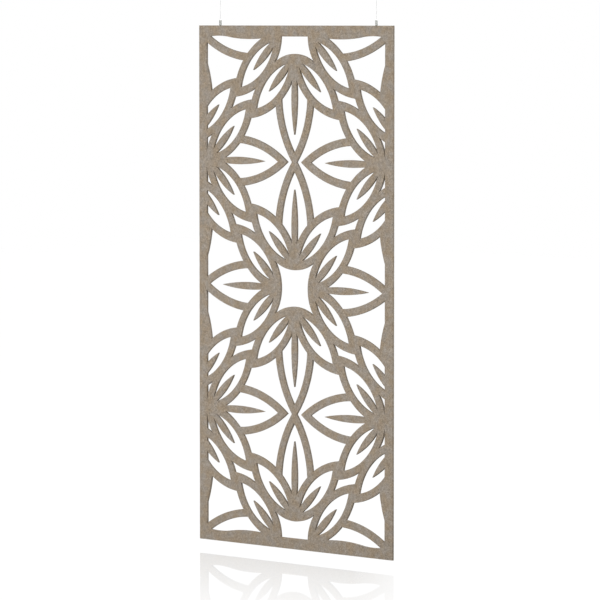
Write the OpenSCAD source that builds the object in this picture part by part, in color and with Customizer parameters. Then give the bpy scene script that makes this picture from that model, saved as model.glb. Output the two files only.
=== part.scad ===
// Hanging room divider: a pierced felt screen that hangs from the ceiling on two taut wire ropes.
// Frame: +Z up, +X along the width, -Y is the front. The origin lies on the ceiling plane,
// midway between the two ceiling fittings. Lengths are millimetres.

/* [Panel] */
// Width of the felt sheet
panel_w = 1220; // [1140:10:1300]
// Height of the felt sheet
panel_h = 2440; // [2300:10:2600]
// Thickness of the felt
felt_t = 12; // [12:1:24]
// Solid border left and right
side_band = 48; // [40:1:70]
// Solid border at the top and bottom
end_band = 51; // [44:1:70]

/* [Petal lattice] */
// Distance across from the middle of one rosette to the next column
pitch_x = 649; // [630:1:670]
// Distance up from the middle of one rosette to the next row
pitch_z = 587; // [580:1:600]
// How far a long petal starts behind the middle of its rosette
long_root = 80; // [60:1:100]
// Distance from the middle of the rosette to the tip of a long petal
long_tip = 606; // [596:1:616]
// Half width of a long petal
long_half_w = 121; // [112:1:130]
// Felt left beside the opening of a long petal
long_side_wall = 38.4; // [30:0.2:46]
// Felt left behind the opening of a long petal
long_root_wall = 84; // [70:1:100]
// Felt left in front of the opening of a long petal
long_tip_wall = 61; // [45:1:75]
// Distance from the tip of the long opening back to the tip of its vein
long_vein_gap = 85; // [60:1:120]
// Length of the vein in a long opening
long_vein_len = 345; // [300:1:380]
// Half width of the vein in a long opening
long_vein_half_w = 17.6; // [12:0.2:24]
// Distance of a side petal's centre line from the diagonal
side_shift = 70; // [64:1:76]
// Distance along the diagonal at which a side petal starts
side_root = 34; // [24:1:44]
// Distance along the diagonal at which a side petal ends
side_tip = 479; // [470:1:488]
// Half width of a side petal
side_half_w = 81.8; // [76:0.2:88]
// Felt left beside the opening of a side petal
side_side_wall = 34.4; // [28:0.2:40]
// Felt left behind the opening of a side petal
side_root_wall = 73; // [60:1:90]
// Felt left in front of the opening of a side petal
side_tip_wall = 67; // [55:1:80]
// Distance from the tip of the side opening back to the tip of its vein
side_vein_gap = 113; // [90:1:135]
// Length of the vein in a side opening
side_vein_len = 221; // [200:1:240]
// Half width of the vein in a side opening
side_vein_half_w = 18; // [12:0.2:24]
// Distance across from the middle of a rosette to a corner of its centre hole
hub_corner = 126; // [110:1:140]
// How far each side of the centre hole bows inwards
hub_bow = 41; // [20:1:50]

/* [Hanging] */
// Distance from the ceiling to the top edge of the felt
ceiling_drop = 150; // [120:1:400]
// Distance from the left edge of the felt to the left wire
left_inset = 134; // [60:1:200]
// Distance from the right edge of the felt to the right wire
right_inset = 105; // [60:1:200]

/* [Wire rope] */
// Diameter of the wire rope
wire_d = 1.2; // [1:0.1:1.5]
// Diameter of the ball pressed onto the top of the wire rope
ball_end_d = 5; // [4.4:0.1:5.6]
// Bend radius of the wire rope inside the gripper
wire_bend_r = 6; // [5.5:0.1:6.5]
// Angle that the wire rope turns through inside the gripper
wire_turn = 60; // [55:1:65]
// Length of the trimmed tail outside the gripper
tail_len = 4; // [2:0.5:8]

/* [Edge insert] */
// Outer diameter of the sleeve in the felt
insert_d = 8; // [7:0.1:9]
// Length of the sleeve in the felt
insert_len = 20; // [16:1:30]
// Diameter of the flange that rests on the felt
insert_flange_d = 11; // [10:0.1:12]
// Thickness of that flange
insert_flange_t = 1; // [0.8:0.1:1.6]
// Diameter of the threaded stud
stud_d = 5; // [4:0.1:5.5]
// Depth of the stud in the sleeve
stud_in_insert = 12; // [8:1:15]
// Depth of the stud in the foot of the gripper
stud_in_foot = 4; // [3:0.1:4.4]
// Chamfer on the ends of the sleeve, the stud and the plunger
end_chamfer = 0.5; // [0.3:0.1:0.8]

/* [Gripper] */
// Diameter of the gripper
gripper_d = 12; // [11:0.1:14]
// Height of the foot of the gripper
foot_h = 9; // [8.5:0.1:11]
// Height of the threaded spigot on the foot
spigot_h = 2.5; // [2:0.1:3]
// Diameter of that spigot
spigot_d = 9.2; // [8.8:0.1:9.6]
// Height of the barrel above the foot
barrel_h = 14.5; // [14:0.1:17]
// Thickness of the barrel's top wall
nose_wall = 2.5; // [2:0.1:3]
// Chamfer on the edges of the gripper and the cap
gripper_chamfer = 0.8; // [0.4:0.1:1.2]
// Chamfer on both sides of the joint between the foot and the barrel
seam_chamfer = 0.3; // [0.1:0.1:0.6]
// Diameter of the release plunger
plunger_d = 4.4; // [4:0.1:4.8]
// Height of the plunger above the barrel when it is not pressed
plunger_up = 5; // [4:0.1:7]
// Travel of the plunger
plunger_travel = 2.5; // [2:0.1:2.6]
// Diameter of the collar at the bottom of the plunger
collar_d = 5.6; // [5.2:0.1:6]
// Thickness of that collar
collar_t = 1; // [0.8:0.1:1.2]
// Distance from the top of the collar to the middle of the balls
ball_rise = 1.5; // [1.2:0.1:1.8]
// Diameter of a clamping ball
clamp_ball_d = 1.9; // [1.8:0.05:2]
// Number of clamping balls
clamp_ball_count = 3; // [3:1:4]
// Half angle of the clamping cone
cone_angle = 8.5; // [7:0.5:10]
// Length of the spring when the plunger is fully pressed
spring_pressed_len = 2; // [1.8:0.1:2.3]
// Middle diameter of the spring
spring_d = 4; // [3.6:0.1:4.4]
// Thickness of the spring's wire
spring_wire_d = 0.35; // [0.3:0.05:0.4]
// Turns of the spring
spring_turns = 4; // [3:1:5]

/* [Ceiling fitting] */
// Diameter of the screwed cap
cap_d = 20; // [19:0.5:26]
// Height of the cap
cap_h = 20; // [18:0.5:24]
// Thickness of the cap's floor below the seat of the ball
cap_floor = 2.5; // [2:0.1:3]
// Diameter of the base that is screwed to the ceiling
base_d = 16; // [15:0.1:16.4]
// Height of that base
base_h = 8; // [7:0.1:9]
// Diameter of the screw hole in the base
screw_hole_d = 4.5; // [3.5:0.1:5]
// Diameter of the countersink for the screw's head
screw_head_d = 9; // [8:0.1:10]
// Half angle of the seat under the ball
seat_angle = 45; // [40:1:50]
// Room round the ball at the top of its seat
seat_lead = 1.5; // [1:0.1:2]
// Swing that the wire has room for, each way
swing_angle = 10; // [6:1:12]

/* [Fits] */
// Gap round pieces that screw or press together
thread_gap = 0.1; // [0.05:0.05:0.2]
// Gap round the plunger in the barrel
slide_gap = 0.1; // [0.05:0.05:0.1]
// Gap between a ball and what it rolls or seats on
ball_gap = 0.15; // [0.1:0.05:0.2]
// Gap between the wire rope and the holes it runs through
wire_gap = 0.3; // [0.2:0.05:0.35]
// Gap round the wire rope in its ball end
swage_gap = 0.05; // [0.03:0.01:0.1]
// Gap between the cap's rim and the ceiling
rim_gap = 0.3; // [0.2:0.1:0.5]

/* [Hidden] */

FELT = "#9c9082";
NICKEL = "#b4b5b2";
STEEL = "#cfd0cf";

$fn = 64;
arc_fn = 180;           // long arcs of the lattice
cut = 1;                // how far a cutter runs past what it cuts
wire_sides = 8;
wire_ring_gap = 3;      // longest straight stretch of wire between two rings
bend_steps = 6;         // rings round the wire's bend
spring_sides = 6;
spring_steps = 12;      // rings per turn

// Places along x and z
hanger_span = panel_w - left_inset - right_inset;
panel_left = -hanger_span / 2 - left_inset;
felt_top = -ceiling_drop;
felt_bottom = felt_top - panel_h;

// Heights above the top edge of the felt, on a hanger's own axis
foot_z = insert_flange_t;
barrel_z = foot_z + foot_h;
spigot_top = barrel_z + spigot_h;
barrel_top = barrel_z + barrel_h;
nose_z = barrel_top - nose_wall;
spring_len = spring_pressed_len + plunger_travel;
collar_z = spigot_top + spring_len;
ball_z = collar_z + collar_t + ball_rise;
mouth_z = barrel_top + plunger_up;

// Where the wire rope's bend ends, on its way down to the tail
bend_end = [wire_bend_r * (1 - cos(wire_turn)), 0, spigot_top - wire_bend_r * sin(wire_turn)];

// Radii
wire_r = wire_d / 2;
bore_r = wire_r + wire_gap;
clamp_ball_r = clamp_ball_d / 2;
ball_ring_r = wire_r + ball_gap + clamp_ball_r;
cone_at_ball = ball_ring_r + (clamp_ball_r + ball_gap) / cos(cone_angle);
function cone_r(z) = cone_at_ball + (ball_z - z) * tan(cone_angle);
plunger_bore_r = plunger_d / 2 + slide_gap;

// Seat of the ball end in the cap, from the ceiling down
ball_end_r = ball_end_d / 2;
seat_hole_r = wire_r / cos(swing_angle) + wire_gap + ball_end_r * tan(swing_angle);
seat_r = ball_end_r + seat_lead;
seat_low = -cap_h + cap_floor;
pivot_z = seat_low + (ball_end_r + ball_gap) / sin(seat_angle) - seat_hole_r / tan(seat_angle);
seat_high = seat_low + (seat_r - seat_hole_r) / tan(seat_angle);

// ---- petal lattice, drawn in the plane of the sheet round the middle of the panel ----

// A petal outline on the x axis: two equal arcs that meet in a point at each end
module petal(root, tip, half_w) {
    length = tip - root;
    r = (length * length / 4 + half_w * half_w) / (2 * half_w);
    translate([(root + tip) / 2, 0])
        intersection() {
            translate([0, r - half_w]) circle(r, $fn = arc_fn);
            translate([0, half_w - r]) circle(r, $fn = arc_fn);
        }
}

// The opening in a petal: a smaller petal with a vein that grows in from its root
module petal_opening(root, tip, half_w, vein_gap, vein_len, vein_half_w) {
    difference() {
        petal(root, tip, half_w);
        petal(tip - vein_gap - vein_len, tip - vein_gap, vein_half_w);
    }
}

module long_petal() {
    petal(-long_root, long_tip, long_half_w);
}

module long_opening() {
    petal_opening(long_root_wall - long_root, long_tip - long_tip_wall,
        long_half_w - long_side_wall, long_vein_gap, long_vein_len, long_vein_half_w);
}

module side_petal() {
    petal(side_root, side_tip, side_half_w);
}

module side_opening() {
    petal_opening(side_root + side_root_wall, side_tip - side_tip_wall,
        side_half_w - side_side_wall, side_vein_gap, side_vein_len, side_vein_half_w);
}

// The four long petals of a rosette lie on its axes
module four_ways() {
    for (turn = [0:90:270]) rotate(turn) children();
}

// The side petals lie in pairs beside its diagonals
module eight_ways() {
    for (turn = [45:90:315], side = [-1, 1])
        rotate(turn) translate([0, side * side_shift]) children();
}

// Square centre hole with sides that bow inwards
module hub_hole() {
    r = (hub_corner * hub_corner + hub_bow * hub_bow) / (2 * hub_bow);
    difference() {
        square(2 * hub_corner, center = true);
        for (turn = [0:90:270])
            rotate(turn) translate([hub_corner - hub_bow + r, 0]) circle(r, $fn = arc_fn);
    }
}

// Five rosettes in a cross pattern: the middle one, one at each end, and two at each side
module each_rosette() {
    for (row = [-1:1]) translate([0, 2 * row * pitch_z]) children();
    for (side = [-1, 1], row = [-1, 1]) translate([side * pitch_x, row * pitch_z]) children();
}

module lattice() {
    difference() {
        union() {
            difference() {
                each_rosette() four_ways() long_petal();
                each_rosette() four_ways() long_opening();
            }
            each_rosette() eight_ways() side_petal();
        }
        each_rosette() eight_ways() side_opening();
        each_rosette() hub_hole();
    }
}

module panel_outline() {
    square([panel_w, panel_h], center = true);
}

module panel_window() {
    square([panel_w - 2 * side_band, panel_h - 2 * end_band], center = true);
}

module felt_panel() {
    color(FELT)
    difference() {
        translate([panel_left + panel_w / 2, felt_t / 2, felt_bottom + panel_h / 2])
            rotate([90, 0, 0])
                linear_extrude(felt_t) {
                    difference() {
                        panel_outline();
                        difference() {
                            panel_window();
                            lattice();
                        }
                    }
                }
        for (side = [-1, 1])
            at_hanger(side)
                translate([0, 0, -insert_len])
                    cylinder(r = insert_d / 2 + thread_gap, h = insert_len + cut);
    }
}

// ---- hanger: everything from the felt's top edge to the mouth of the gripper ----

module at_hanger(side) {
    translate([side * hanger_span / 2, 0, felt_top]) children();
}

// A round bar with both edges chamfered
module chamfered_bar(r, h, chamfer) {
    rotate_extrude()
        polygon([[0, 0], [r - chamfer, 0], [r, chamfer], [r, h - chamfer], [r - chamfer, h], [0, h]]);
}

module edge_insert() {
    color(NICKEL)
    difference() {
        union() {
            translate([0, 0, -insert_len]) chamfered_bar(insert_d / 2, insert_len, end_chamfer);
            cylinder(d = insert_flange_d, h = insert_flange_t);
        }
        translate([0, 0, -stud_in_insert - cut])
            cylinder(r = stud_d / 2 + thread_gap, h = stud_in_insert + insert_flange_t + 2 * cut);
    }
}

module hanger_stud() {
    color(STEEL)
    translate([0, 0, -stud_in_insert])
        chamfered_bar(stud_d / 2, stud_in_insert + insert_flange_t + stud_in_foot, end_chamfer);
}

// Passage of the wire: down the axis, round a bend and out through the side
module wire_passage() {
    translate([0, 0, spigot_top]) cylinder(r = bore_r, h = cut);
    translate([wire_bend_r, 0, spigot_top])
        rotate([90, 0, 0])
            rotate([0, 0, 180])
                rotate_extrude(angle = wire_turn)
                    translate([wire_bend_r, 0]) circle(bore_r);
    at_bend_end() cylinder(r = bore_r, h = gripper_d);
}

// Places children where the bend ends, with +Z along the wire towards its tail
module at_bend_end() {
    translate(bend_end) rotate([0, 180 - wire_turn, 0]) children();
}

module gripper_foot() {
    color(NICKEL)
    difference() {
        union() {
            translate([0, 0, foot_z]) rotate_extrude()
                polygon([[0, 0], [gripper_d / 2 - gripper_chamfer, 0], [gripper_d / 2, gripper_chamfer],
                    [gripper_d / 2, foot_h - seam_chamfer], [gripper_d / 2 - seam_chamfer, foot_h],
                    [0, foot_h]]);
            translate([0, 0, barrel_z - cut]) cylinder(d = spigot_d, h = spigot_h + cut);
        }
        translate([0, 0, foot_z - cut])
            cylinder(r = stud_d / 2 + thread_gap, h = stud_in_foot + 2 * thread_gap + cut);
        wire_passage();
    }
}

module gripper_barrel() {
    color(NICKEL)
    rotate_extrude()
        polygon([
            [plunger_bore_r, barrel_top], [plunger_bore_r, nose_z], [cone_r(nose_z), nose_z],
            [cone_r(spigot_top), spigot_top], [spigot_d / 2 + thread_gap, spigot_top],
            [spigot_d / 2 + thread_gap, barrel_z], [gripper_d / 2 - seam_chamfer, barrel_z],
            [gripper_d / 2, barrel_z + seam_chamfer], [gripper_d / 2, barrel_top - gripper_chamfer],
            [gripper_d / 2 - gripper_chamfer, barrel_top]]);
}

module release_plunger() {
    color(STEEL)
    difference() {
        rotate_extrude()
            polygon([[bore_r, collar_z], [collar_d / 2, collar_z], [collar_d / 2, collar_z + collar_t],
                [plunger_d / 2, collar_z + collar_t], [plunger_d / 2, mouth_z - end_chamfer],
                [plunger_d / 2 - end_chamfer, mouth_z], [bore_r, mouth_z]]);
        for (turn = [0:360 / clamp_ball_count:359])
            rotate(turn) translate([0, 0, ball_z]) rotate([0, 90, 0])
                cylinder(r = clamp_ball_r + ball_gap / 2, h = plunger_d);
    }
}

module clamp_balls() {
    color(STEEL)
    for (turn = [0:360 / clamp_ball_count:359])
        rotate(turn) translate([ball_ring_r, 0, ball_z]) sphere(clamp_ball_r);
}

// ---- swept tubes ----

// Face list of a tube with n rings of k points each and flat ends
function tube_faces(n, k) = concat(
    [[for (j = [k - 1:-1:0]) j]],
    [for (i = [0:n - 2], j = [0:k - 1])
        each [[i * k + j, i * k + (j + 1) % k, (i + 1) * k + (j + 1) % k],
            [i * k + j, (i + 1) * k + (j + 1) % k, (i + 1) * k + j]]],
    [[for (j = [0:k - 1]) (n - 1) * k + j]]);

// Turns of a compression spring that stands on the spigot
function spring_ring(i) =
    let (turn = 360 * i / spring_steps,
        lift = spring_len - spring_wire_d - 2 * slide_gap,
        z = spring_wire_d / 2 + slide_gap + lift * i / (spring_steps * spring_turns))
    [for (j = [0:spring_sides - 1])
        let (a = 360 * j / spring_sides, r = spring_d / 2 + spring_wire_d / 2 * cos(a))
        [r * cos(turn), r * sin(turn), spigot_top + z + spring_wire_d / 2 * sin(a)]];

module plunger_spring() {
    rings = spring_steps * spring_turns + 1;
    color(STEEL)
    polyhedron(
        points = [for (i = [0:rings - 1]) each spring_ring(i)],
        faces = tube_faces(rings, spring_sides));
}

// The wire's centre line from the tip of its tail, round the bend and up to the ball end.
// Each entry is a point and the angle of the wire's direction above the x axis.
wire_top = -felt_top + pivot_z + ball_end_r;
wire_steps = ceil((wire_top - spigot_top) / wire_ring_gap);
tail_run = (gripper_d / 2 - bend_end[0]) / sin(wire_turn) + tail_len;
wire_line = concat(
    [for (i = [0:2])
        let (s = tail_run * (2 - i) / 2)
        [bend_end + s * [sin(wire_turn), 0, -cos(wire_turn)], 90 + wire_turn]],
    [for (i = [1:bend_steps])
        let (a = wire_turn * (bend_steps - i) / bend_steps)
        [[wire_bend_r * (1 - cos(a)), 0, spigot_top - wire_bend_r * sin(a)], 90 + a]],
    [for (i = [1:wire_steps])
        [[0, 0, spigot_top + (wire_top - spigot_top) * i / wire_steps], 90]]);

module wire_rope() {
    color(STEEL)
    polyhedron(
        points = [for (entry = wire_line)
            let (side = [sin(entry[1]), 0, -cos(entry[1])])
            each [for (j = [0:wire_sides - 1])
                let (a = -360 * j / wire_sides)
                entry[0] + wire_r * (cos(a) * side + [0, sin(a), 0])]],
        faces = tube_faces(len(wire_line), wire_sides));
}

module wire_ball_end() {
    color(STEEL)
    difference() {
        translate([0, 0, wire_top - ball_end_r]) sphere(ball_end_r);
        translate([0, 0, wire_top - ball_end_d - cut])
            cylinder(r = wire_r + swage_gap, h = ball_end_d + 2 * cut);
    }
}

// ---- ceiling fittings ----

module at_ceiling(side) {
    translate([side * hanger_span / 2, 0, 0]) children();
}

module ceiling_base() {
    color(NICKEL)
    rotate_extrude()
        polygon([[screw_hole_d / 2, 0], [base_d / 2, 0], [base_d / 2, -base_h], [screw_head_d / 2, -base_h],
            [screw_hole_d / 2, -base_h + (screw_head_d - screw_hole_d) / 2]]);
}

module ceiling_cap() {
    thread_r = base_d / 2 + thread_gap;
    flare_r = seat_hole_r + cap_floor * tan(swing_angle);
    edge = gripper_chamfer;
    color(NICKEL)
    rotate_extrude()
        polygon([[thread_r, -rim_gap], [thread_r, -base_h - thread_gap], [seat_r, -base_h - thread_gap],
            [seat_r, seat_high], [seat_hole_r, seat_low], [flare_r, -cap_h], [cap_d / 2 - edge, -cap_h],
            [cap_d / 2, -cap_h + edge], [cap_d / 2, -rim_gap]]);
}

felt_panel();
at_hanger(-1) edge_insert();  // edge_insert_left
at_hanger(1) edge_insert();  // edge_insert_right
at_hanger(-1) hanger_stud();  // hanger_stud_left
at_hanger(1) hanger_stud();  // hanger_stud_right
at_hanger(-1) gripper_foot();  // gripper_foot_left
at_hanger(1) gripper_foot();  // gripper_foot_right
at_hanger(-1) gripper_barrel();  // gripper_barrel_left
at_hanger(1) gripper_barrel();  // gripper_barrel_right
at_hanger(-1) release_plunger();  // release_plunger_left
at_hanger(1) release_plunger();  // release_plunger_right
at_hanger(-1) clamp_balls();  // clamp_balls_left
at_hanger(1) clamp_balls();  // clamp_balls_right
at_hanger(-1) plunger_spring();  // plunger_spring_left
at_hanger(1) plunger_spring();  // plunger_spring_right
at_hanger(-1) wire_rope();  // wire_rope_left
at_hanger(1) wire_rope();  // wire_rope_right
at_hanger(-1) wire_ball_end();  // wire_ball_end_left
at_hanger(1) wire_ball_end();  // wire_ball_end_right
at_ceiling(-1) ceiling_cap();  // ceiling_cap_left
at_ceiling(1) ceiling_cap();  // ceiling_cap_right
at_ceiling(-1) ceiling_base();  // ceiling_base_left
at_ceiling(1) ceiling_base();  // ceiling_base_right
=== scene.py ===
"""Finishes and fine shapes of a hanging felt room divider, made round its fixed frame.

Lengths are metres in the frame's own axes: +Z up, -Y the front of the felt, and the origin on the
ceiling, midway between the two ceiling fittings.
"""

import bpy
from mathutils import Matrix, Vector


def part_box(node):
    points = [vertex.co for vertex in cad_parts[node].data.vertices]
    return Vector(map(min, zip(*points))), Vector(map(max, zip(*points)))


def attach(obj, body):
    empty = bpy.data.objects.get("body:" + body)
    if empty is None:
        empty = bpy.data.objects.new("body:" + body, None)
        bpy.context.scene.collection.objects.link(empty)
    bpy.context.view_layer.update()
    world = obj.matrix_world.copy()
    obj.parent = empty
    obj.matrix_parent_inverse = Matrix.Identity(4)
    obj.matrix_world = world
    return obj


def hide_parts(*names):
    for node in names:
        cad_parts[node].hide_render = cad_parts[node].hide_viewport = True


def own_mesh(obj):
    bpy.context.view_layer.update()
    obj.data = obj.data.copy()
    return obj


bl_info = {
    "name": "Felt Room Divider",
    "version": (1, 0, 0),
    "blender": (4, 5, 0),
    "location": "3D View > Sidebar > Divider",
    "description": "Builds the felt, wire ropes, fittings and stage of a hanging room divider",
    "category": "Add Mesh",
}

from math import ceil, cos, pi, radians, sin, tan

import bmesh
import bpy
from bpy.props import FloatProperty, FloatVectorProperty, IntProperty, PointerProperty
from mathutils import Matrix, Vector, geometry, kdtree, noise

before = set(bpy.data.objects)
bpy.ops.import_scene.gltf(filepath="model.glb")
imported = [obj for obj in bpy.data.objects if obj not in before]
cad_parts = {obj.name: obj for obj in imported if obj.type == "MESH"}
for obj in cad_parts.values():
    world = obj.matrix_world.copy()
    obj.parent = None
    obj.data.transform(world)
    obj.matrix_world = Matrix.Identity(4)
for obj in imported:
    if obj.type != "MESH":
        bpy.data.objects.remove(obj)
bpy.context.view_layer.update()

MM = 0.001
TURN = 2 * pi
SIDES = ("left", "right")
WELD = 0.001 * MM  # Points of the frame's panel that are closer than this are one point
PLAY = 0.1 * MM  # Between a thread and what screws on to it


def linear(code):
    """An sRGB hex colour such as #9C9082 as linear red, green and blue."""
    values = [int(code[i:i + 2], 16) / 255 for i in (1, 3, 5)]
    return [v / 12.92 if v <= 0.04045 else ((v + 0.055) / 1.055) ** 2.4 for v in values]


# ---- settings ----


class CameraSettings(bpy.types.PropertyGroup):
    """Where the picture is taken from."""
    azimuth: FloatProperty(
        name="Azimuth", description="Angle of the camera round the divider, from its front to its right",
        default=radians(42.568), subtype="ANGLE")
    elevation: FloatProperty(
        name="Elevation", description="Angle of the camera above the point that it looks at",
        default=radians(3.822), subtype="ANGLE")
    distance: FloatProperty(
        name="Distance", description="From the camera to the point that it looks at",
        default=19.503, unit="LENGTH")
    lens: FloatProperty(
        name="Lens", description="Focal length on a sensor 36 mm wide",
        default=252.0, unit="CAMERA")
    look_at: FloatVectorProperty(
        name="Look At", description="The point in the middle of the picture",
        default=(0.0235, -0.006, -1.4218), subtype="XYZ", unit="LENGTH")


class FeltSettings(bpy.types.PropertyGroup):
    """Shape and colours of the felt sheet."""
    edge_round: FloatProperty(
        name="Edge Round", description="Radius that pressing and handling leave along the cut edges",
        default=1.2 * MM, min=0.3 * MM, max=3 * MM, unit="LENGTH")
    outline_step: FloatProperty(
        name="Outline Step", description="Longest distance between two points of an outline",
        default=10 * MM, min=4 * MM, max=40 * MM, unit="LENGTH")
    surface_step: FloatProperty(
        name="Surface Step", description="Distance between the points inside the flat faces",
        default=10.5 * MM, min=5 * MM, max=60 * MM, unit="LENGTH")
    relief: FloatProperty(
        name="Relief", description="Height of the soft clouds that needling leaves in the faces",
        default=0.35 * MM, min=0.0, max=1 * MM, unit="LENGTH")
    fray: FloatProperty(
        name="Fray", description="How far the cut wall wanders from its line",
        default=0.15 * MM, min=0.0, max=0.5 * MM, unit="LENGTH")
    base: FloatVectorProperty(
        name="Base Fibres", description="Colour of most of the fibres",
        default=linear("#9D8D79"), subtype="COLOR", min=0, max=1)
    dark: FloatVectorProperty(
        name="Dark Fibres", description="Colour of the darkest fibres in the blend",
        default=linear("#756959"), subtype="COLOR", min=0, max=1)
    pale: FloatVectorProperty(
        name="Pale Fibres", description="Colour of the palest fibres in the blend",
        default=linear("#BAAB98"), subtype="COLOR", min=0, max=1)
    greying: FloatProperty(
        name="Greying", description="Share of the colour that the greyest clouds of the blend lack",
        default=0.38, min=0.0, max=1.0, subtype="FACTOR")


class RopeSettings(bpy.types.PropertyGroup):
    """Build and route of the wire ropes."""
    diameter: FloatProperty(
        name="Diameter", description="Diameter of the rope over its strands",
        default=1.2 * MM, unit="LENGTH")
    strands: IntProperty(
        name="Strands", description="Strands laid round the core strand", default=6, min=3, max=8)
    lay: FloatProperty(
        name="Lay", description="Length in which a strand goes once round the rope",
        default=9.6 * MM, unit="LENGTH")
    bend_radius: FloatProperty(
        name="Bend Radius", description="Radius of the bend inside the gripper",
        default=6 * MM, unit="LENGTH")
    bend_turn: FloatProperty(
        name="Bend", description="Angle that the rope turns through inside the gripper",
        default=radians(60), subtype="ANGLE")
    tail: FloatProperty(
        name="Tail", description="Length of the trimmed end outside the gripper",
        default=4 * MM, unit="LENGTH")


class HardwareSettings(bpy.types.PropertyGroup):
    """Small metal pieces."""
    stud_pitch: FloatProperty(
        name="Stud Pitch", description="Pitch of the machine thread on the stud",
        default=0.8 * MM, unit="LENGTH")
    insert_pitch: FloatProperty(
        name="Insert Pitch", description="Pitch of the coarse thread that holds in the felt",
        default=2.5 * MM, unit="LENGTH")
    insert_depth: FloatProperty(
        name="Insert Depth", description="Depth of that coarse thread",
        default=0.7 * MM, unit="LENGTH")
    knurl_pitch: FloatProperty(
        name="Knurl Pitch", description="Distance between the points of the knurl on the ceiling cap",
        default=1.0 * MM, unit="LENGTH")
    knurl_depth: FloatProperty(
        name="Knurl Depth", description="Depth of that knurl",
        default=0.25 * MM, unit="LENGTH")
    spring_wire: FloatProperty(
        name="Spring Wire", description="Thickness of the spring's wire",
        default=0.35 * MM, unit="LENGTH")
    spring_turns: FloatProperty(
        name="Spring Turns", description="Open turns of the spring", default=4.0, min=2.0, max=8.0)


class StageSettings(bpy.types.PropertyGroup):
    """Floor and light."""
    floor_gap: FloatProperty(
        name="Floor Gap", description="From the felt's lower edge down to the floor",
        default=35 * MM, unit="LENGTH")
    floor_size: FloatProperty(
        name="Floor Size", description="Width of the floor", default=40.0, unit="LENGTH")
    mirror: FloatProperty(
        name="Mirror", description="Share of the light that the floor mirrors at the felt's left foot",
        default=0.34, min=0.0, max=1.0, subtype="FACTOR")
    mirror_reach: FloatProperty(
        name="Mirror Reach", description="Distance to the front over which that share fades",
        default=2.6, unit="LENGTH")
    mirror_right: FloatProperty(
        name="Mirror Right", description="From the felt's middle to where it starts to fade rightwards",
        default=0.34, unit="LENGTH")
    mirror_fade: FloatProperty(
        name="Mirror Fade", description="Distance to the right over which it fades",
        default=0.48, unit="LENGTH")
    # Painted shade: within this distance the floor's paint darkens towards the felt
    shade_reach: FloatProperty(
        name="Shade Reach", description="Distance from the felt within which the floor is in its shade",
        default=0.9, unit="LENGTH")
    sky: FloatProperty(
        name="Sky", description="Strength of the even light from all round", default=0.545)


class DividerSettings(bpy.types.PropertyGroup):
    """All settings of the room divider."""
    camera: PointerProperty(type=CameraSettings)
    felt: PointerProperty(type=FeltSettings)
    rope: PointerProperty(type=RopeSettings)
    hardware: PointerProperty(type=HardwareSettings)
    stage: PointerProperty(type=StageSettings)


# ---- shared helpers ----


def add_node(tree, kind, inputs, **settings):
    """Adds a node, sets its properties, and gives each input a value or the socket that feeds it.

    Mix inputs share names, so they go by number: 2 and 3 for numbers, 6 and 7 for colours.
    """
    node = tree.nodes.new(kind)
    for name, value in settings.items():
        setattr(node, name, value)
    for name, value in inputs.items():
        if isinstance(value, bpy.types.NodeSocket):
            tree.links.new(value, node.inputs[name])
        else:
            node.inputs[name].default_value = value
    return node


def new_material(name):
    """An empty node material, and its node tree."""
    material = bpy.data.materials.new(name)
    material.use_nodes = True
    material.node_tree.nodes.clear()
    return material, material.node_tree


def seen_ray(tree):
    """Is 1 for a ray from the camera, off gloss or through glass, and 0 for one that carries light."""
    path = add_node(tree, "ShaderNodeLightPath", {})
    seen = path.outputs["Is Camera Ray"]
    for kind in ("Is Glossy Ray", "Is Transmission Ray"):
        seen = add_node(tree, "ShaderNodeMath", {
            0: seen, 1: path.outputs[kind]}, operation="MAXIMUM").outputs["Value"]
    return seen


def placed(data):
    """Puts a mesh, lamp or camera in the scene as an object of the same name."""
    thing = bpy.data.objects.new(data.name, data)
    bpy.context.scene.collection.objects.link(thing)
    return thing


def new_piece(mesh, body, material, replaced):
    """Puts a mesh in the scene as a piece that rides on a body and stands for a node of the frame."""
    piece = placed(mesh)
    mesh.materials.append(material)
    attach(piece, body)
    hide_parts(replaced)
    return piece


def dress(node, material):
    """Gives a node of the frame a finish through its object's own material slots."""
    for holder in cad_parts[node].material_slots:
        holder.link = "OBJECT"
        holder.material = material


def mesh_of(name, vertices, faces):
    """A smooth mesh with its faces turned outwards, and a crisp edge wherever it turns sharply."""
    sharp = radians(40)
    mesh = bpy.data.meshes.new(name)
    mesh.from_pydata(vertices, [], faces)
    work = bmesh.new()
    work.from_mesh(mesh)
    # Points on a turned part's axis become one, and strands that touch stay apart
    bmesh.ops.remove_doubles(work, verts=work.verts, dist=0.0001 * MM)
    bmesh.ops.recalc_face_normals(work, faces=work.faces)
    work.to_mesh(mesh)
    work.free()
    mesh.shade_smooth()
    mesh.set_sharp_from_angle(angle=sharp)
    return mesh


def swept_tube(centres, radius, sides):
    """Vertices and faces of a round tube along centres, with flat ends."""
    vertices, faces = [], []
    along = (centres[1] - centres[0]).normalized()
    across = along.orthogonal().normalized()
    for i, centre in enumerate(centres):
        ahead = centres[min(i + 1, len(centres) - 1)] - centres[max(i - 1, 0)]
        across = (along.rotation_difference(ahead) @ across).normalized()
        along = ahead.normalized()
        beside = along.cross(across)
        for k in range(sides):
            angle = TURN * k / sides
            vertices.append(centre + radius * (cos(angle) * across + sin(angle) * beside))
    for i in range(len(centres) - 1):
        for k in range(sides):
            here, after = i * sides, (i + 1) * sides
            following = (k + 1) % sides
            faces.append((here + k, here + following, after + following, after + k))
    faces.append(tuple(reversed(range(sides))))
    faces.append(tuple(len(vertices) - sides + k for k in range(sides)))
    return vertices, faces


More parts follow.
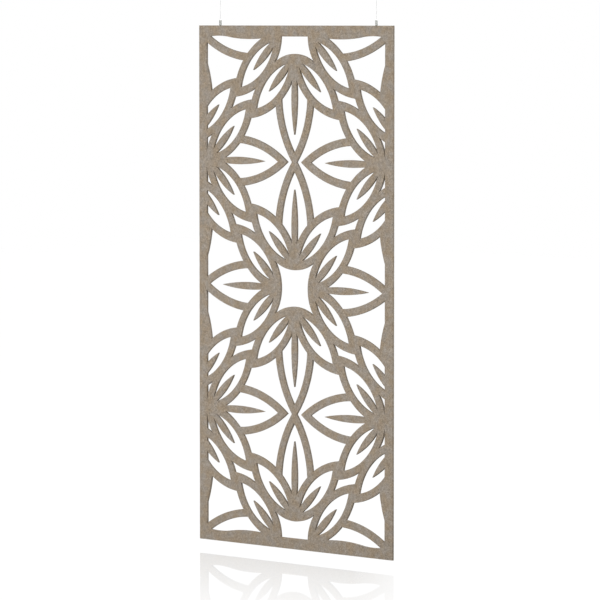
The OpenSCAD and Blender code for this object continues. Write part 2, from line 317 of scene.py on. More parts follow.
def turned_part(name, axis, profile, sides, cut):
    """A closed profile of (radius, height) turned round an axis. cut gives a point's final radius."""
    vertices, faces = [], []
    count = len(profile)
    for i in range(sides):
        angle = TURN * i / sides
        for radius, height in profile:
            final = cut(radius, height, angle)
            vertices.append((final * cos(angle), final * sin(angle), height))
    for i in range(sides):
        here, after = i * count, (i + 1) % sides * count
        for k in range(count):
            following = (k + 1) % count
            faces.append((here + k, after + k, after + following, here + following))
    mesh = mesh_of(name, vertices, faces)
    mesh.transform(Matrix.Translation(axis))
    return mesh


def straight_run(radius, low, high, step):
    """Profile points up a straight wall, close enough together to carry a thread or a knurl."""
    steps = ceil((high - low) / step)
    return [(radius, low + (high - low) * i / steps) for i in range(steps + 1)]


def ridge(value):
    """A wave from 0 to 1 and back with straight flanks, once for each whole number."""
    return 1 - abs(2 * (value % 1) - 1)


def middle(node):
    """The middle of a node's box."""
    low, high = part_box(node)
    return (low + high) / 2


def hanger_axis(side):
    """A point on a hanger's own upright axis, at ceiling height."""
    centre = middle(f"wire_ball_end_{side}")
    return Vector((centre.x, centre.y, 0))


# ---- camera ----


class DIVIDER_OT_camera(bpy.types.Operator):
    """Place the camera where the picture was taken"""
    bl_idname = "divider.camera"
    bl_label = "Camera"

    def execute(self, context):
        settings = context.scene.divider.camera
        level = cos(settings.elevation)
        back = Vector((sin(settings.azimuth) * level, -cos(settings.azimuth) * level,
                       sin(settings.elevation)))
        data = bpy.data.cameras.new("camera")
        data.lens = settings.lens
        data.clip_end = 100  # Well past the floor's far edge
        camera = placed(data)
        camera.location = Vector(settings.look_at) + back * settings.distance
        camera.rotation_euler = (-back).to_track_quat("-Z", "Y").to_euler()
        context.scene.camera = camera
        return {"FINISHED"}


# ---- wire ropes ----


def rope_route(settings, side):
    """Points along a rope's middle, from the tip of its tail, through the gripper, to its ball end."""
    bend_steps, straight_steps = 12, 120
    axis = hanger_axis(side)
    foot_low, foot_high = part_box(f"gripper_foot_{side}")
    body_radius = (foot_high.y - foot_low.y) / 2
    bend_start = foot_high.z
    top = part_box(f"wire_rope_{side}")[1].z
    radius, turn = settings.bend_radius, settings.bend_turn

    def on_bend(angle):
        return axis + Vector((radius * (1 - cos(angle)), 0, bend_start - radius * sin(angle)))

    bend_end = on_bend(turn)
    outwards = Vector((sin(turn), 0, -cos(turn)))
    run = (body_radius - (bend_end.x - axis.x)) / sin(turn) + settings.tail
    route = [bend_end + outwards * run * i / bend_steps for i in range(bend_steps, 0, -1)]
    route += [on_bend(turn * i / bend_steps) for i in range(bend_steps, 0, -1)]
    route += [axis + Vector((0, 0, bend_start + (top - bend_start) * i / straight_steps))
              for i in range(straight_steps + 1)]
    return route


def stranded_rope(name, route, settings):
    """A core strand with the other strands laid round it in long right-hand turns."""
    strand = settings.diameter / 6  # Its radius: three strands lie side by side across the rope
    strand_sides, steps_per_turn = 8, 14
    step = settings.lay / steps_per_turn
    vertices, faces = swept_tube(route, strand, strand_sides)
    fine = evenly(route, step)
    along = (fine[1] - fine[0]).normalized()
    across = Vector((0, 1, 0))
    lines = [[] for _ in range(settings.strands)]
    for i, point in enumerate(fine):
        ahead = (fine[min(i + 1, len(fine) - 1)] - fine[max(i - 1, 0)]).normalized()
        across = (along.rotation_difference(ahead) @ across).normalized()
        along = ahead
        beside = along.cross(across)
        for k, line in enumerate(lines):
            angle = TURN * (i * step / settings.lay + k / settings.strands)
            line.append(point + 2 * strand * (cos(angle) * across + sin(angle) * beside))
    for line in lines:
        more_vertices, more_faces = swept_tube(line, strand, strand_sides)
        base = len(vertices)
        vertices += more_vertices
        faces += [tuple(base + k for k in face) for face in more_faces]
    return mesh_of(name, vertices, faces)


def evenly(route, step):
    """The route again, with its points a step apart, and its last point kept."""
    points = [route[0]]
    left = step
    for start, end in zip(route, route[1:]):
        reach = (end - start).length
        while left < reach:
            points.append(start.lerp(end, left / reach))
            left += step
        left -= reach
    if (points[-1] - route[-1]).length < step / 2:
        points.pop()
    return points + [route[-1]]


def drawn_wire():
    """Drawn stainless wire: a cool grey metal, bright along each wire and dull between strands."""
    material, tree = new_material("drawn_stainless_wire")
    place = add_node(tree, "ShaderNodeTexCoord", {})
    # The drawing die leaves marks 0.05 mm wide. They are drawn 0.5 mm wide, so that they show
    marks = add_node(tree, "ShaderNodeTexNoise", {
        "Vector": place.outputs["Object"], "Scale": 1 / (0.5 * MM), "Detail": 2.0})
    rough = add_node(tree, "ShaderNodeMapRange", {
        "Value": marks.outputs["Fac"], "To Min": 0.28, "To Max": 0.45})
    shader = add_node(tree, "ShaderNodeBsdfPrincipled", {
        "Base Color": (*linear("#A3A4A3"), 1), "Metallic": 1.0, "Roughness": rough.outputs["Result"]})
    add_node(tree, "ShaderNodeOutputMaterial", {"Surface": shader.outputs["BSDF"]})
    return material


class DIVIDER_OT_wire_ropes(bpy.types.Operator):
    """Lay the two stranded wire ropes from their trimmed tails up to their ball ends"""
    bl_idname = "divider.wire_ropes"
    bl_label = "Wire Ropes"

    def execute(self, context):
        settings = context.scene.divider.rope
        steel = drawn_wire()
        for side in SIDES:
            route = rope_route(settings, side)
            mesh = stranded_rope(f"stranded_rope_{side}", route, settings)
            rope = new_piece(mesh, "hung_panel", steel, f"wire_rope_{side}")
            mouth = hanger_axis(side)
            mouth.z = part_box(f"release_plunger_{side}")[1].z
        return {"FINISHED"}


# ---- felt sheet ----


def outlines(node):
    """The outlines of a flat node's front face, as loops of (x, z) with the felt on their left."""
    work = bmesh.new()
    work.from_mesh(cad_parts[node].data)
    bmesh.ops.remove_doubles(work, verts=work.verts, dist=WELD)
    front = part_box(node)[0].y
    for face in work.faces:
        face.tag = all(abs(v.co.y - front) < 10 * WELD for v in face.verts)
    # In the mesh's own order, which is the same each run
    after = {}
    for face in work.faces:
        for corner in face.loops:
            if face.tag and sum(other.tag for other in corner.edge.link_faces) == 1:
                after[corner.vert] = corner.link_loop_next.vert
    loops = []
    while after:
        vertex, following = after.popitem()
        loop = [Vector((vertex.co.x, vertex.co.z))]
        while following in after:
            loop.append(Vector((following.co.x, following.co.z)))
            following = after.pop(following)
        loops.append(loop)
    work.free()
    return loops


def rounded_out(loop, step, corner):
    """A loop with points added along its arcs, and whether each point is a sharp corner."""
    count = len(loop)
    chords = [loop[(i + 1) % count] - loop[i] for i in range(count)]
    sharp = [chords[i - 1].angle(chords[i]) > corner for i in range(count)]
    tangents = []
    for i in range(count):
        before, ahead = chords[i - 1], chords[i]
        tangent = before.normalized() * ahead.length + ahead.normalized() * before.length
        tangents.append(tangent.normalized())
    points = []
    corners = []
    for i, chord in enumerate(chords):
        following = (i + 1) % count
        way = chord.normalized()
        start, end = tangents[i], tangents[following]
        if sharp[i] and sharp[following]:
            start = end = way
        elif sharp[i]:
            start = 2 * end.dot(way) * way - end
        elif sharp[following]:
            end = 2 * start.dot(way) * way - start
        steps = max(1, ceil(chord.length / step))
        for k in range(steps):
            t = k / steps
            points.append(loop[i] * (2 * t ** 3 - 3 * t ** 2 + 1)
                          + start * chord.length * (t ** 3 - 2 * t ** 2 + t)
                          + loop[following] * (3 * t ** 2 - 2 * t ** 3)
                          + end * chord.length * (t ** 3 - t ** 2))
            corners.append(sharp[i] and k == 0)
    return points, corners


def inwards(points):
    """For each point of a loop, the way into the felt: one unit in from both of its sides.

    At a sharp tip that way is long, so it is cut off at three units.
    """
    longest, least = 3, 0.01
    ways = []
    for i, point in enumerate(points):
        before = (point - points[i - 1]).normalized()
        ahead = (points[(i + 1) % len(points)] - point).normalized()
        left = Vector((-before.y, before.x)) + Vector((-ahead.y, ahead.x))
        ways.append(left * min(1 / max(1 + before.dot(ahead), least), longest / max(left.length, least)))
    return ways


def flat_face(loops, inside, step):
    """Triangles that fill the felt between loops. Each loop is a list of indices into inside."""
    points = list(inside)
    edges = []
    for loop in loops:
        edges += zip(loop, loop[1:] + loop[:1])
    near = kdtree.KDTree(len(points))
    for i, point in enumerate(points):
        near.insert((point.x, point.y, 0), i)
    near.balance()
    low = Vector((min(p.x for p in points), min(p.y for p in points)))
    high = Vector((max(p.x for p in points), max(p.y for p in points)))
    row_height = step * sin(radians(60))
    clear = 0.6 * step  # From an outline to the nearest point inside
    for row in range(int((high.y - low.y) / row_height)):
        for column in range(int((high.x - low.x) / step)):
            x = low.x + step * (column + 0.5 * (row % 2) + 0.5)
            y = low.y + row_height * (row + 0.5)
            if near.find((x, y, 0))[2] > clear:
                points.append(Vector((x, y)))
    _, _, triangles, sources, _, _ = geometry.delaunay_2d_cdt(points, edges, [], 0, WELD)
    if any(len(source) != 1 for source in sources):
        raise RuntimeError("two outlines of the felt touch, so its flat face can't be filled")
    number = [source[0] for source in sources]
    triangles = [tuple(number[k] for k in triangle) for triangle in triangles]
    wall = set(edges)
    beside = {}
    for i, (a, b, c) in enumerate(triangles):
        for edge in ((a, b), (b, c), (c, a)):
            beside[edge] = i
    todo = [beside[edge] for edge in edges]
    felt = set(todo)
    while todo:
        a, b, c = triangles[todo.pop()]
        for edge in ((a, b), (b, c), (c, a)):
            other = beside.get(edge[::-1])
            if edge not in wall and other is not None and other not in felt:
                felt.add(other)
                todo.append(other)
    return points, [triangles[i] for i in sorted(felt)]


def felt_mesh(settings):
    """The pierced sheet with rounded cut edges, softly clouded faces and slightly frayed walls."""
    corner = radians(10)  # An outline that turns by more than this has a corner there
    low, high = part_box("felt_panel")
    radius = settings.edge_round
    profile = [(radius * (1 - sin(angle)), radius * (1 - cos(angle)))
               for angle in (0, radians(45), radians(90))]
    depth = high.y - low.y
    rings = [(inset, low.y + down) for inset, down in profile]
    rings.append((0, low.y + depth / 2))
    rings += [(inset, high.y - down) for inset, down in reversed(profile)]

    points, ways, corners, loops = [], [], [], []
    for loop in outlines("felt_panel"):
        fine, sharp = rounded_out(loop, settings.outline_step, corner)
        loops.append(list(range(len(points), len(points) + len(fine))))
        points += fine
        ways += inwards(fine)
        corners += sharp
    count = len(points)
    rim = [point + way * radius for point, way in zip(points, ways)]
    flat, triangles = flat_face(loops, rim, settings.surface_step)

    vertices = []
    for inset, y in rings:
        vertices += [(p.x + w.x * inset, y, p.y + w.y * inset) for p, w in zip(points, ways)]
    front_extra = len(vertices)
    vertices += [(p.x, low.y, p.y) for p in flat[count:]]
    back_extra = len(vertices)
    vertices += [(p.x, high.y, p.y) for p in flat[count:]]
    last = (len(rings) - 1) * count

    faces = [tuple(k if k < count else k - count + front_extra for k in t) for t in triangles]
    faces += [tuple(k + last if k < count else k - count + back_extra for k in reversed(t))
              for t in triangles]
    for loop in loops:
        for a, b in zip(loop, loop[1:] + loop[:1]):
            for ring in range(len(rings) - 1):
                here, deeper = ring * count, (ring + 1) * count
                faces.append((here + a, deeper + a, deeper + b, here + b))

    mesh = bpy.data.meshes.new("felt_sheet")
    mesh.from_pydata([soften(Vector(v), low.y, high.y, settings) for v in vertices], [], faces)
    mesh.shade_smooth()
    crease = mesh.attributes.new("sharp_edge", "BOOLEAN", "EDGE")
    for edge in mesh.edges:
        a, b = edge.vertices
        same = a % count == b % count and max(a, b) < front_extra
        crease.data[edge.index].value = same and corners[a % count]
    return mesh


def soften(point, front, back, settings):
    """Moves a point of the sheet by the clouds of its faces and the fray of its walls."""
    cloud_width, fray_width = 34 * MM, 7 * MM
    # Places in the noise that are far enough apart to have nothing in common
    front_noise, back_noise, upright_fray = 0, 50, Vector((0, 90, 0))
    share = (point.y - front) / (back - front)
    for away, weight in ((front_noise, max(0, 1 - 2 * share)), (back_noise, max(0, 2 * share - 1))):
        spot = Vector((point.x, away, point.z)) / cloud_width
        point.y += settings.relief * weight * noise.noise(spot)
    worn = min(1, 4 * min(share, 1 - share))
    spot = point / fray_width
    point.x += settings.fray * worn * noise.noise(spot)
    point.z += settings.fray * worn * noise.noise(spot + upright_fray)
    return point


def pressed_felt(settings):
    """Needled and pressed polyester felt: dead matt, a mat of fine crossed fibres in brown and grey,
    with a faint pale bloom where it is seen aslant and darker, layered walls where it was cut."""
    material, tree = new_material("pressed_felt")
    place = add_node(tree, "ShaderNodeTexCoord", {}).outputs["Object"]

    # Crimped fibres bend about every 4 mm, and wander from their line as they do
    crimp = add_node(tree, "ShaderNodeTexNoise", {"Vector": place, "Scale": 1 / (4 * MM), "Detail": 1.0})
    bent = add_node(tree, "ShaderNodeVectorMath", {
        0: crimp.outputs["Color"], 1: [2.5 * MM] * 3, 2: place}, operation="MULTIPLY_ADD").outputs[0]

    # Fibres are 0.03 mm thick and lie every way. They are drawn as strands 0.5 mm wide and 8 mm long,
    # laid over each other in four directions, so that they show close up
    mat = None
    for angle in (12, 57, 102, 147):
        strands = drawn_fibres(tree, bent, angle, 8 * MM, 0.5 * MM)
        if mat is not None:
            strands = add_node(tree, "ShaderNodeMath", {
                0: mat, 1: strands}, operation="MAXIMUM").outputs["Value"]
        mat = strands

    # Single fibres that are nearly white or nearly black: short flecks, which give the felt its grain
    flecks = [add_node(tree, "ShaderNodeMapRange", {
        "Value": drawn_fibres(tree, bent, angle, 6 * MM, 0.5 * MM), "From Min": 0.58, "From Max": 0.85,
    }).outputs["Result"] for angle in (35, 125)]
    flecked = add_node(tree, "ShaderNodeMath", {0: flecks[0], 1: flecks[1]}, operation="SUBTRACT")
    grain = add_node(tree, "ShaderNodeMath", {
        0: flecked.outputs["Value"], 1: 0.6, 2: mat}, operation="MULTIPLY_ADD")

    # Tufts where more of one colour was carded in, 16 mm long: what shows from a few steps away
    tufts = [drawn_fibres(tree, place, angle, 16 * MM, 3.5 * MM) for angle in (20, 65, 110, 155)]
    pale_tufts, dark_tufts = (add_node(tree, "ShaderNodeMath", {
        0: one, 1: other}, operation="MAXIMUM").outputs[0] for one, other in (tufts[::2], tufts[1::2]))
    tufted = add_node(tree, "ShaderNodeMath", {0: pale_tufts, 1: dark_tufts}, operation="SUBTRACT")
    shade = add_node(tree, "ShaderNodeMath", {
        0: tufted.outputs["Value"], 1: 0.8, 2: grain.outputs["Value"]}, operation="MULTIPLY_ADD")
    blend = add_node(tree, "ShaderNodeMapRange", {
        "Value": shade.outputs["Value"], "From Min": 0.37, "From Max": 0.98})
    fibre_colour = add_node(tree, "ShaderNodeValToRGB", {"Fac": blend.outputs["Result"]})
    stops = fibre_colour.color_ramp.elements
    stops[0].color = (*settings.dark, 1)
    stops[1].color = (*settings.pale, 1)
    stops.new(0.5).color = (*settings.base, 1)

    # Clouds from uneven blending, 45 mm across, turn the brown greyer
    clouds = add_node(tree, "ShaderNodeTexNoise", {
        "Vector": place, "Scale": 1 / (45 * MM), "Detail": 2.0})
    warmth = add_node(tree, "ShaderNodeMapRange", {
        "Value": clouds.outputs["Fac"], "From Min": 0.35, "From Max": 0.65,
        "To Min": 1.0, "To Max": 1 - settings.greying})
    clouded = add_node(tree, "ShaderNodeHueSaturation", {
        "Saturation": warmth.outputs["Result"], "Color": fibre_colour.outputs["Color"]})

    # On the cut walls the pressed layers show as darker lines along the sheet, 1.2 mm apart
    axes = add_node(tree, "ShaderNodeSeparateXYZ", {"Vector": place})
    off_middle = add_node(tree, "ShaderNodeMath", {0: axes.outputs["Y"]}, operation="ABSOLUTE")
    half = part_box("felt_panel")[1].y
    cut = add_node(tree, "ShaderNodeMapRange", {
        "Value": off_middle.outputs["Value"], "From Min": half - 1.4 * MM, "From Max": half - 0.5 * MM,
        "To Min": 1.0, "To Max": 0.0})
    stretched = add_node(tree, "ShaderNodeVectorMath", {
        0: place, 1: (1 / (12 * MM), 1 / (1.2 * MM), 1 / (12 * MM))}, operation="MULTIPLY")
    layers = add_node(tree, "ShaderNodeTexNoise", {
        "Vector": stretched.outputs["Vector"], "Scale": 1.0, "Detail": 2.0})
    layer_tone = add_node(tree, "ShaderNodeMapRange", {
        "Value": layers.outputs["Fac"], "From Min": 0.3, "From Max": 0.7,
        "To Min": 0.80, "To Max": 1.02})
    wall_tone = add_node(tree, "ShaderNodeMix", {
        0: cut.outputs["Result"], 2: 1.0, 3: layer_tone.outputs["Result"]}, data_type="FLOAT")

    # The batt is never quite even: broad patches, 90 mm across, are a little lighter or darker
    patches = add_node(tree, "ShaderNodeTexNoise", {
        "Vector": place, "Scale": 1 / (90 * MM), "Detail": 2.0})
    patch_tone = add_node(tree, "ShaderNodeMapRange", {
        "Value": patches.outputs["Fac"], "From Min": 0.3, "From Max": 0.7,
        "To Min": 0.978, "To Max": 1.022})
    tone = add_node(tree, "ShaderNodeMath", {
        0: wall_tone.outputs["Result"], 1: patch_tone.outputs["Result"]}, operation="MULTIPLY")
    colour = add_node(tree, "ShaderNodeVectorMath", {
        0: clouded.outputs["Color"], "Scale": tone.outputs["Value"]}, operation="SCALE")

    rough = add_node(tree, "ShaderNodeMapRange", {
        "Value": blend.outputs["Result"], "To Min": 1.0, "To Max": 0.86})
    bump = add_node(tree, "ShaderNodeBump", {
        "Strength": 0.5, "Distance": 0.5 * MM, "Height": grain.outputs["Value"]})
    shader = add_node(tree, "ShaderNodeBsdfPrincipled", {
        "Base Color": colour.outputs["Vector"], "Roughness": rough.outputs["Result"],
        "Normal": bump.outputs["Normal"], "Specular IOR Level": 0.2, "IOR": 1.5,
        "Sheen Weight": 0.15, "Sheen Roughness": 0.6, "Sheen Tint": (*settings.pale, 1)})
    add_node(tree, "ShaderNodeOutputMaterial", {"Surface": shader.outputs["BSDF"]})
    return material


def drawn_fibres(tree, place, angle, length, width):
    """Noise drawn out into fibres that lie at an angle in the plane of the sheet."""
    turned = add_node(tree, "ShaderNodeVectorRotate", {
        "Vector": place, "Angle": radians(angle)}, rotation_type="Y_AXIS")
    drawn = add_node(tree, "ShaderNodeVectorMath", {
        0: turned.outputs["Vector"], 1: (1 / length, 0.5 / width, 1 / width)}, operation="MULTIPLY")
    return add_node(tree, "ShaderNodeTexNoise", {
        "Vector": drawn.outputs["Vector"], "Scale": 1.0, "Detail": 1.0}).outputs["Fac"]


class DIVIDER_OT_felt_sheet(bpy.types.Operator):
    """Build the pierced felt sheet on the outlines of the frame's panel"""
    bl_idname = "divider.felt_sheet"
    bl_label = "Felt Sheet"

    def execute(self, context):
        settings = context.scene.divider.felt
        mesh = felt_mesh(settings)
        sheet = new_piece(mesh, "hung_panel", pressed_felt(settings), "felt_panel")
        even = sheet.modifiers.new("flat_faces", "WEIGHTED_NORMAL")
        even.keep_sharp = True
        return {"FINISHED"}


# ---- small metal pieces ----


def turned_metal(name, colour, roughness, line):
    """A metal with faint rings round the upright axis, as a cutter, a die or a grinder leaves them.

    line is how far apart they are drawn. Real ones are 0.1 mm apart or less, too fine to show.
    """
    length = 20 * line  # How far a ring runs before it fades
    material, tree = new_material(name)
    place = add_node(tree, "ShaderNodeTexCoord", {})
    rings = add_node(tree, "ShaderNodeVectorMath", {
        0: place.outputs["Object"], 1: (1 / length, 1 / length, 1 / line)}, operation="MULTIPLY")
    marks = add_node(tree, "ShaderNodeTexNoise", {
        "Vector": rings.outputs["Vector"], "Scale": 1.0, "Detail": 3.0})
    rough = add_node(tree, "ShaderNodeMapRange", {
        "Value": marks.outputs["Fac"], "From Min": 0.3, "From Max": 0.7,
        "To Min": roughness * 0.75, "To Max": roughness * 1.25})
    bump = add_node(tree, "ShaderNodeBump", {
        "Strength": 0.25, "Distance": line / 10, "Height": marks.outputs["Fac"]})
    shader = add_node(tree, "ShaderNodeBsdfPrincipled", {
        "Base Color": (*linear(colour), 1), "Metallic": 1.0, "Roughness": rough.outputs["Result"],
        "Normal": bump.outputs["Normal"]})
    add_node(tree, "ShaderNodeOutputMaterial", {"Surface": shader.outputs["BSDF"]})
    return material


def satin_nickel():
    """Nickel plate on turned brass: a soft, slightly warm grey gloss, darker than bare nickel as painted
    shade for a dim room in its mirror. All the plated pieces share it.
    """
    name = "satin_nickel_plate"
    # The dark grey is painted shade: it stands in for the dim surroundings that real plate mirrors
    return bpy.data.materials.get(name) or turned_metal(name, "#848582", 0.40, 0.4 * MM)


class DIVIDER_OT_edge_inserts(bpy.types.Operator):
    """Turn the threaded sleeves in the felt's edge and the studs that screw into them"""
    bl_idname = "divider.edge_inserts"
    bl_label = "Edge Inserts and Studs"

    def execute(self, context):
        settings = context.scene.divider.hardware
        plate = satin_nickel()
        # Rolled stainless thread: grey and bright on its flanks
        steel = turned_metal("rolled_thread_steel", "#B9B9B6", 0.3, 0.4 * MM)
        for side in SIDES:
            axis = hanger_axis(side)
            self.insert(settings, side, axis, plate)
            self.stud(settings, side, axis, steel)
        return {"FINISHED"}

    def insert(self, settings, side, axis, plate):
        """A blind sleeve with a coarse thread that holds in the felt, and a flange on its edge."""
        low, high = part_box(f"edge_insert_{side}")
        felt_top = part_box("felt_panel")[1].z
        stud_low, stud_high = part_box(f"hanger_stud_{side}")
        flange = (high.x - low.x) / 2
        bore = (stud_high.x - stud_low.x) / 2 + PLAY
        sleeve, sides = 4 * MM, 64
        lead = 1 * MM  # Plain length at either end of the thread, and room under the stud
        edge, seat = 0.2 * MM, 0.3 * MM  # Broken edges of the flange and of the bore
        blind = stud_low.z - lead
        step = settings.insert_pitch / 12
        core = straight_run(sleeve, low.z + lead, felt_top - lead / 2, step)
        profile = [(0, low.z), (sleeve - settings.insert_depth, low.z), *core, (sleeve, felt_top),
                   (flange - edge, felt_top), (flange, felt_top + edge), (flange, high.z - edge),
                   (flange - edge, high.z), (bore + seat, high.z), (bore, high.z - seat),
                   (bore, blind), (0, blind)]

        def cut(radius, height, angle):
            if radius != sleeve or height > felt_top - lead:
                return radius
            turn = ridge(height / settings.insert_pitch - angle / TURN)
            # The crest is a fifth of the pitch wide, and the root three tenths
            return radius - settings.insert_depth * min(1, max(0, 1.6 - 2 * turn))

        mesh = turned_part(f"threaded_insert_{side}", axis, profile, sides, cut)
        new_piece(mesh, "hung_panel", plate, f"edge_insert_{side}")

    def stud(self, settings, side, axis, steel):
        """A headless stud, threaded from end to end."""
        low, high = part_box(f"hanger_stud_{side}")
        radius, sides = (high.x - low.x) / 2, 48
        point = 0.5 * MM  # Chamfer at either end
        depth = 0.6 * settings.stud_pitch
        step = settings.stud_pitch / 8
        profile = [(0, low.z), (radius - point, low.z),
                   *straight_run(radius, low.z + point, high.z - point, step),
                   (radius - point, high.z), (0, high.z)]

        def cut(distance, height, angle):
            if distance != radius:
                return distance
            return radius - depth * ridge(height / settings.stud_pitch - angle / TURN)

        mesh = turned_part(f"threaded_stud_{side}", axis, profile, sides, cut)
        new_piece(mesh, "hung_panel", steel, f"hanger_stud_{side}")


class DIVIDER_OT_grippers(bpy.types.Operator):
    """Finish the grippers' bodies, plungers and balls, and coil the springs under the plungers"""
    bl_idname = "divider.grippers"
    bl_label = "Wire Grippers"

    def execute(self, context):
        settings = context.scene.divider.hardware
        nickel = satin_nickel()
        # Polished nickel on the plunger: brighter and smoother where a thumb presses it
        polished = turned_metal("polished_nickel", "#C6C5C1", 0.16, 0.4 * MM)
        # Ground and hardened ball steel: nearly a mirror
        ground = turned_metal("ground_ball_steel", "#B4B5B6", 0.08, 0.2 * MM)
        # Spring steel as drawn: darker, with a dull gloss
        drawn = turned_metal("drawn_spring_steel", "#8F9091", 0.35, 0.2 * MM)
        for side in SIDES:
            dress(f"gripper_foot_{side}", nickel)
            dress(f"gripper_barrel_{side}", nickel)
            dress(f"release_plunger_{side}", polished)
            dress(f"clamp_balls_{side}", ground)
            self.spring(settings, side, drawn)
        return {"FINISHED"}

    def spring(self, settings, side, steel):
        """The coil stands on the gripper's foot, under the plunger."""
        low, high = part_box(f"plunger_spring_{side}")
        axis = hanger_axis(side)
        wire = settings.spring_wire / 2
        coil = (high.y - low.y) / 2 - wire
        rings_per_turn, wire_sides = 28, 10
        closed = 0.75  # Part of a turn that lies shut at either end
        turns = settings.spring_turns + 2 * closed
        closed_rise = settings.spring_wire * closed
        open_rise = (high.z - low.z - 2 * wire - 2 * closed_rise) / settings.spring_turns
        centres = []
        for i in range(int(turns * rings_per_turn) + 1):
            done = i / rings_per_turn
            below, above = min(done, closed), max(0, done - closed - settings.spring_turns)
            rise = (below + above) * settings.spring_wire + (done - below - above) * open_rise
            angle = TURN * done
            centres.append(axis + Vector((coil * cos(angle), coil * sin(angle), low.z + wire + rise)))
        mesh = mesh_of(f"coil_spring_{side}", *swept_tube(centres, wire, wire_sides))
        spring = new_piece(mesh, "hung_panel", steel, f"plunger_spring_{side}")
        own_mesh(spring)


class DIVIDER_OT_ceiling_fittings(bpy.types.Operator):
    """Turn the knurled ceiling caps, and finish the bases and the ropes' ball ends"""
    bl_idname = "divider.ceiling_fittings"
    bl_label = "Ceiling Fittings"

    def execute(self, context):
        settings = context.scene.divider.hardware
        nickel = satin_nickel()
        # Pressed stainless ball: bright, with a soft gloss from tumbling
        tumbled = turned_metal("tumbled_stainless", "#BDBDBA", 0.22, 0.5 * MM)
        for side in SIDES:
            dress(f"ceiling_base_{side}", nickel)
            dress(f"wire_ball_end_{side}", tumbled)
            self.cap(settings, side, nickel)
        return {"FINISHED"}

    def cap(self, settings, side, nickel):
        """A cap with a cone seat for the rope's ball end, and a knurled band to grip it by."""
        low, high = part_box(f"ceiling_cap_{side}")
        base_low, base_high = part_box(f"ceiling_base_{side}")
        ball_low, ball_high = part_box(f"wire_ball_end_{side}")
        swing = radians(10)  # The rope leans this far in the cap's mouth
        free = 0.3 * MM  # Round the rope as it leans
        rope, ball = 0.6 * MM, (ball_high.x - ball_low.x) / 2
        radius = (high.x - low.x) / 2
        chamfer, rim = 0.8 * MM, 0.4 * MM  # Broken edges below and above
        mouth = 2.5 * MM  # Height of the flared hole, up to the seat
        thread = (base_high.x - base_low.x) / 2 + PLAY
        room = base_low.z - PLAY
        floor = low.z + mouth
        hole = rope / cos(swing) + free + ball * tan(swing)
        flare = hole + mouth * tan(swing)
        cup = ball + 1.5 * MM  # The space above the seat
        plain = 3 * MM  # Above and below the knurled band
        band_low, band_high = low.z + plain, high.z - plain
        step = settings.knurl_pitch / 4
        band = [(radius, band_low - step), *straight_run(radius, band_low, band_high, step),
                (radius, band_high + step)]
        profile = [(thread, high.z), (thread, room), (cup, room), (cup, floor + cup - hole),
                   (hole, floor), (flare, low.z), (radius - chamfer, low.z),
                   (radius, low.z + chamfer), *band, (radius, high.z - rim), (radius - rim, high.z)]
        around = round(TURN * radius / settings.knurl_pitch)

        def cut(distance, height, angle):
            if distance != radius or not band_low <= height <= band_high:
                return distance
            slope = height / settings.knurl_pitch
            across = around * angle / TURN
            point = min(ridge(across + slope), ridge(across - slope))
            return radius - settings.knurl_depth * (1 - point)

        mesh = turned_part(f"knurled_cap_{side}", hanger_axis(side), profile, 4 * around, cut)
        new_piece(mesh, "ceiling", nickel, f"ceiling_cap_{side}")


# ---- stage ----


def polished_floor(settings, left_foot):
    """A polished white floor: pure white, with a mirrored felt that fades to the front and the right,
    and painted shade beside the felt in the light it sends back.
    """
    forwards, rightwards = Vector((0.25, -0.97, 0)), Vector((1, 0.918, 0))
    # Its own glow, and its paint in the open, its darker paint beside the felt as painted shade, and
    # where it is looked at
    whiteness, open_grey, painted_shade_grey, seen_grey = 0.95, 0.45, 0.0, 0.1
    # Within this distance of the felt the painted shade is at its darkest
    deep_shade = 0.1
    material, tree = new_material("polished_white_floor")
    place = add_node(tree, "ShaderNodeTexCoord", {}).outputs["Object"]
    seen = seen_ray(tree)
    glow = add_node(tree, "ShaderNodeMath", {0: seen, 1: whiteness}, operation="MULTIPLY")
    white = add_node(tree, "ShaderNodeEmission", {"Color": (1, 1, 1, 1), "Strength": glow.outputs[0]})

    # Painted shade: beside the felt the floor's paint is darker, so it sends less light up to the felt's
    # foot, as the felt's shade would. The camera sees the even paint there.
    axes = add_node(tree, "ShaderNodeSeparateXYZ", {"Vector": place})
    beside = add_node(tree, "ShaderNodeMath", {0: axes.outputs["Y"]}, operation="ABSOLUTE")
    shade = add_node(tree, "ShaderNodeMapRange", {
        "Value": beside.outputs["Value"], "From Min": deep_shade, "From Max": settings.shade_reach,
        "To Min": painted_shade_grey, "To Max": open_grey})
    tint = add_node(tree, "ShaderNodeMix", {
        0: seen, 6: shade.outputs["Result"], 7: (seen_grey, seen_grey, seen_grey, 1)}, data_type="RGBA")
    paint = add_node(tree, "ShaderNodeBsdfDiffuse", {"Color": tint.outputs[2]})
    lit = add_node(tree, "ShaderNodeAddShader", {0: white.outputs[0], 1: paint.outputs[0]})

    # The polish mirrors most at the felt's left foot
    polish = add_node(tree, "ShaderNodeBsdfGlossy", {"Color": (1, 1, 1, 1), "Roughness": 0.03})
    along = add_node(tree, "ShaderNodeVectorMath", {0: place, 1: forwards}, operation="DOT_PRODUCT")
    start = left_foot.dot(forwards)
    fading = add_node(tree, "ShaderNodeMapRange", {
        "Value": along.outputs["Value"], "From Min": start, "From Max": start + settings.mirror_reach,
        "To Min": settings.mirror, "To Max": 0.0})
    across = add_node(tree, "ShaderNodeVectorMath", {0: place, 1: rightwards}, operation="DOT_PRODUCT")
    kept = add_node(tree, "ShaderNodeMapRange", {
        "Value": across.outputs["Value"], "From Min": settings.mirror_right,
        "From Max": settings.mirror_right + settings.mirror_fade, "To Min": 1.0, "To Max": 0.0})
    share = add_node(tree, "ShaderNodeMath", {
        0: fading.outputs["Result"], 1: kept.outputs["Result"]}, operation="MULTIPLY")
    surface = add_node(tree, "ShaderNodeMixShader", {
        0: share.outputs["Value"], 1: lit.outputs[0], 2: polish.outputs[0]})
    add_node(tree, "ShaderNodeOutputMaterial", {"Surface": surface.outputs[0]})
    return material


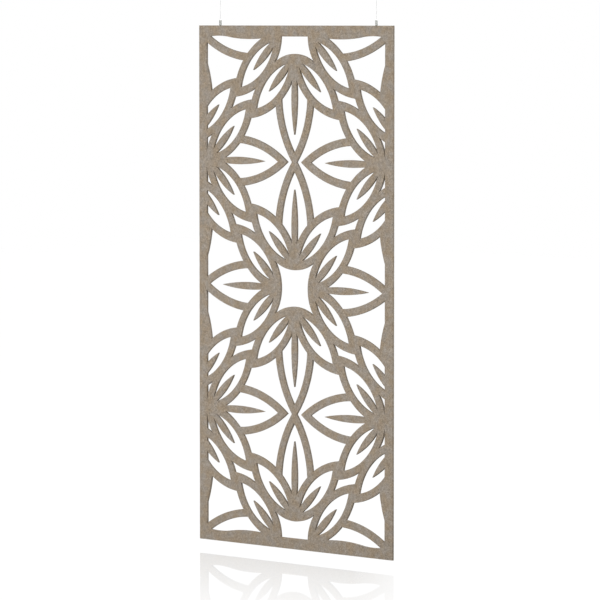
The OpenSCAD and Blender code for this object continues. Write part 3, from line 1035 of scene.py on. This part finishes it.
def even_sky(settings):
    """Even light from all round. The camera, gloss and glass see it as white."""
    world = bpy.data.worlds.new("even_white")
    world.use_nodes = True
    tree = world.node_tree
    tree.nodes.clear()
    power = add_node(tree, "ShaderNodeMapRange", {
        "Value": seen_ray(tree), "To Min": settings.sky, "To Max": 1.0})
    light = add_node(tree, "ShaderNodeBackground", {"Color": (1, 1, 1, 1), "Strength": power.outputs[0]})
    add_node(tree, "ShaderNodeOutputWorld", {"Surface": light.outputs[0]})
    return world


class DIVIDER_OT_stage(bpy.types.Operator):
    """Set out the floor, the lamps and the even light"""
    bl_idname = "divider.stage"
    bl_label = "Stage"

    def execute(self, context):
        settings = context.scene.divider.stage
        left_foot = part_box("felt_panel")[0]
        centre = middle("felt_panel")
        half = settings.floor_size / 2
        level = left_foot.z - settings.floor_gap
        mesh = bpy.data.meshes.new("floor")
        mesh.from_pydata([(-half, -half, level), (half, -half, level), (half, half, level),
                          (-half, half, level)], [], [(0, 1, 2, 3)])
        mesh.materials.append(polished_floor(settings, left_foot))
        floor = placed(mesh)
        context.scene.world = even_sky(settings)
        # Name, place from the middle of the felt, side of the square lamp, power in watts
        lamps = (("key_lamp", Vector((-1.2, -7.0, 1.0)), 3.0, 283.0),
                 ("right_lamp", Vector((6.5, -0.8, 1.2)), 2.0, 160.0),
                 ("back_lamp", Vector((1.2, 7.0, 1.6)), 3.0, 220.0))
        for name, place, size, power in lamps:
            data = bpy.data.lights.new(name, "AREA")
            data.size = size
            data.energy = power
            lamp = placed(data)
            lamp.location = centre + place
            lamp.rotation_euler = (-place).to_track_quat("-Z", "Y").to_euler()
        context.scene.view_settings.view_transform = "Standard"
        return {"FINISHED"}


# ---- add-on ----


STEPS = (DIVIDER_OT_camera, DIVIDER_OT_wire_ropes, DIVIDER_OT_felt_sheet, DIVIDER_OT_edge_inserts,
         DIVIDER_OT_grippers, DIVIDER_OT_ceiling_fittings, DIVIDER_OT_stage)


class DIVIDER_PT_sidebar(bpy.types.Panel):
    """Lists the building steps of the room divider"""
    bl_label = "Room Divider"
    bl_idname = "DIVIDER_PT_sidebar"
    bl_space_type = "VIEW_3D"
    bl_region_type = "UI"
    bl_category = "Divider"

    def draw(self, context):
        for step in STEPS:
            self.layout.operator(step.bl_idname)


CLASSES = (CameraSettings, FeltSettings, RopeSettings, HardwareSettings, StageSettings, DividerSettings,
           *STEPS, DIVIDER_PT_sidebar)


def register():
    for each in CLASSES:
        bpy.utils.register_class(each)
    bpy.types.Scene.divider = PointerProperty(type=DividerSettings)


def unregister():
    del bpy.types.Scene.divider
    for each in reversed(CLASSES):
        bpy.utils.unregister_class(each)


def main():
    """Builds everything."""
    register()
    bpy.ops.divider.camera()
    bpy.ops.divider.wire_ropes()
    bpy.ops.divider.felt_sheet()
    bpy.ops.divider.edge_inserts()
    bpy.ops.divider.grippers()
    bpy.ops.divider.ceiling_fittings()
    bpy.ops.divider.stage()


if __name__ == "__main__":
    main()
